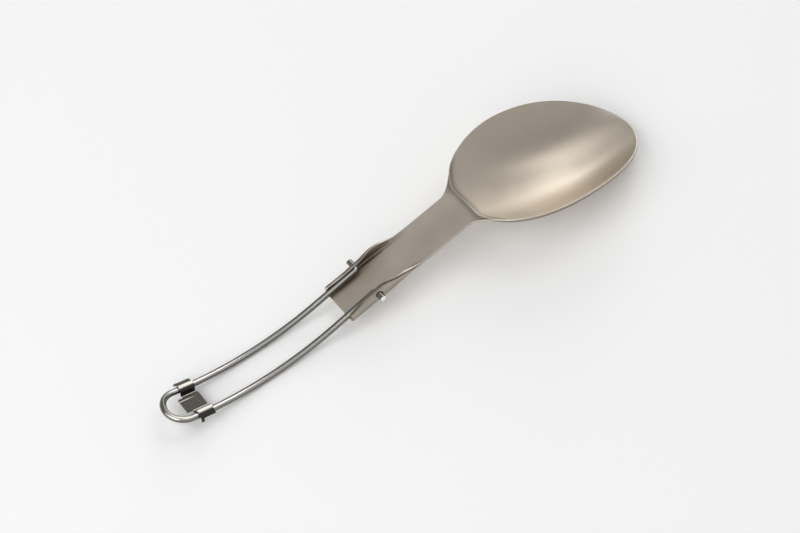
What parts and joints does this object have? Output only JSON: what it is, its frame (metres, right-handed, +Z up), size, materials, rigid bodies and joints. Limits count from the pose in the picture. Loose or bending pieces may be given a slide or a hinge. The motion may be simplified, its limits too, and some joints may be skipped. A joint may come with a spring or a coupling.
{
  "type": "folding spoon",
  "caption": "Folding spoon: a pressed metal bowl and neck with a channel end, hinged on a bent wire loop handle with a sliding clip that keeps it open.",
  "frame": {"origin": "on the table plane, below the middle of the opened spoon's length, on its plane of symmetry", "axes": "+X along the spoon from the wire loop to the bowl's tip, +Y across it, +Z up out of the bowl's mouth"},
  "size_m": [0.1669, 0.0418, 0.0158],
  "materials": {
    "blasted_titanium": "bead-blasted titanium, warm grey, satin",
    "polished_wire": "polished round titanium wire",
    "polished_clip": "thin folded sheet, polished"
  },
  "bodies": {
    "head": {"spoon_head": "blasted_titanium"},
    "handle": {"wire_handle": "polished_wire"},
    "slider": {"lock_slider": "polished_clip"}
  },
  "joints": [
    {"name": "handle_fold", "type": "hinge", "parent": "head", "child": "handle", "pos_m": [-0.01432, 0, 0.0083], "axis": [0, 1, 0], "range_deg": [0, 180]},
    {"name": "slider_travel", "type": "hinge", "parent": "handle", "child": "slider", "pos_m": [-0.05198, 0, 0.08595], "axis": [0, -1, 0], "range_deg": [0, 30.5]}
  ]
}
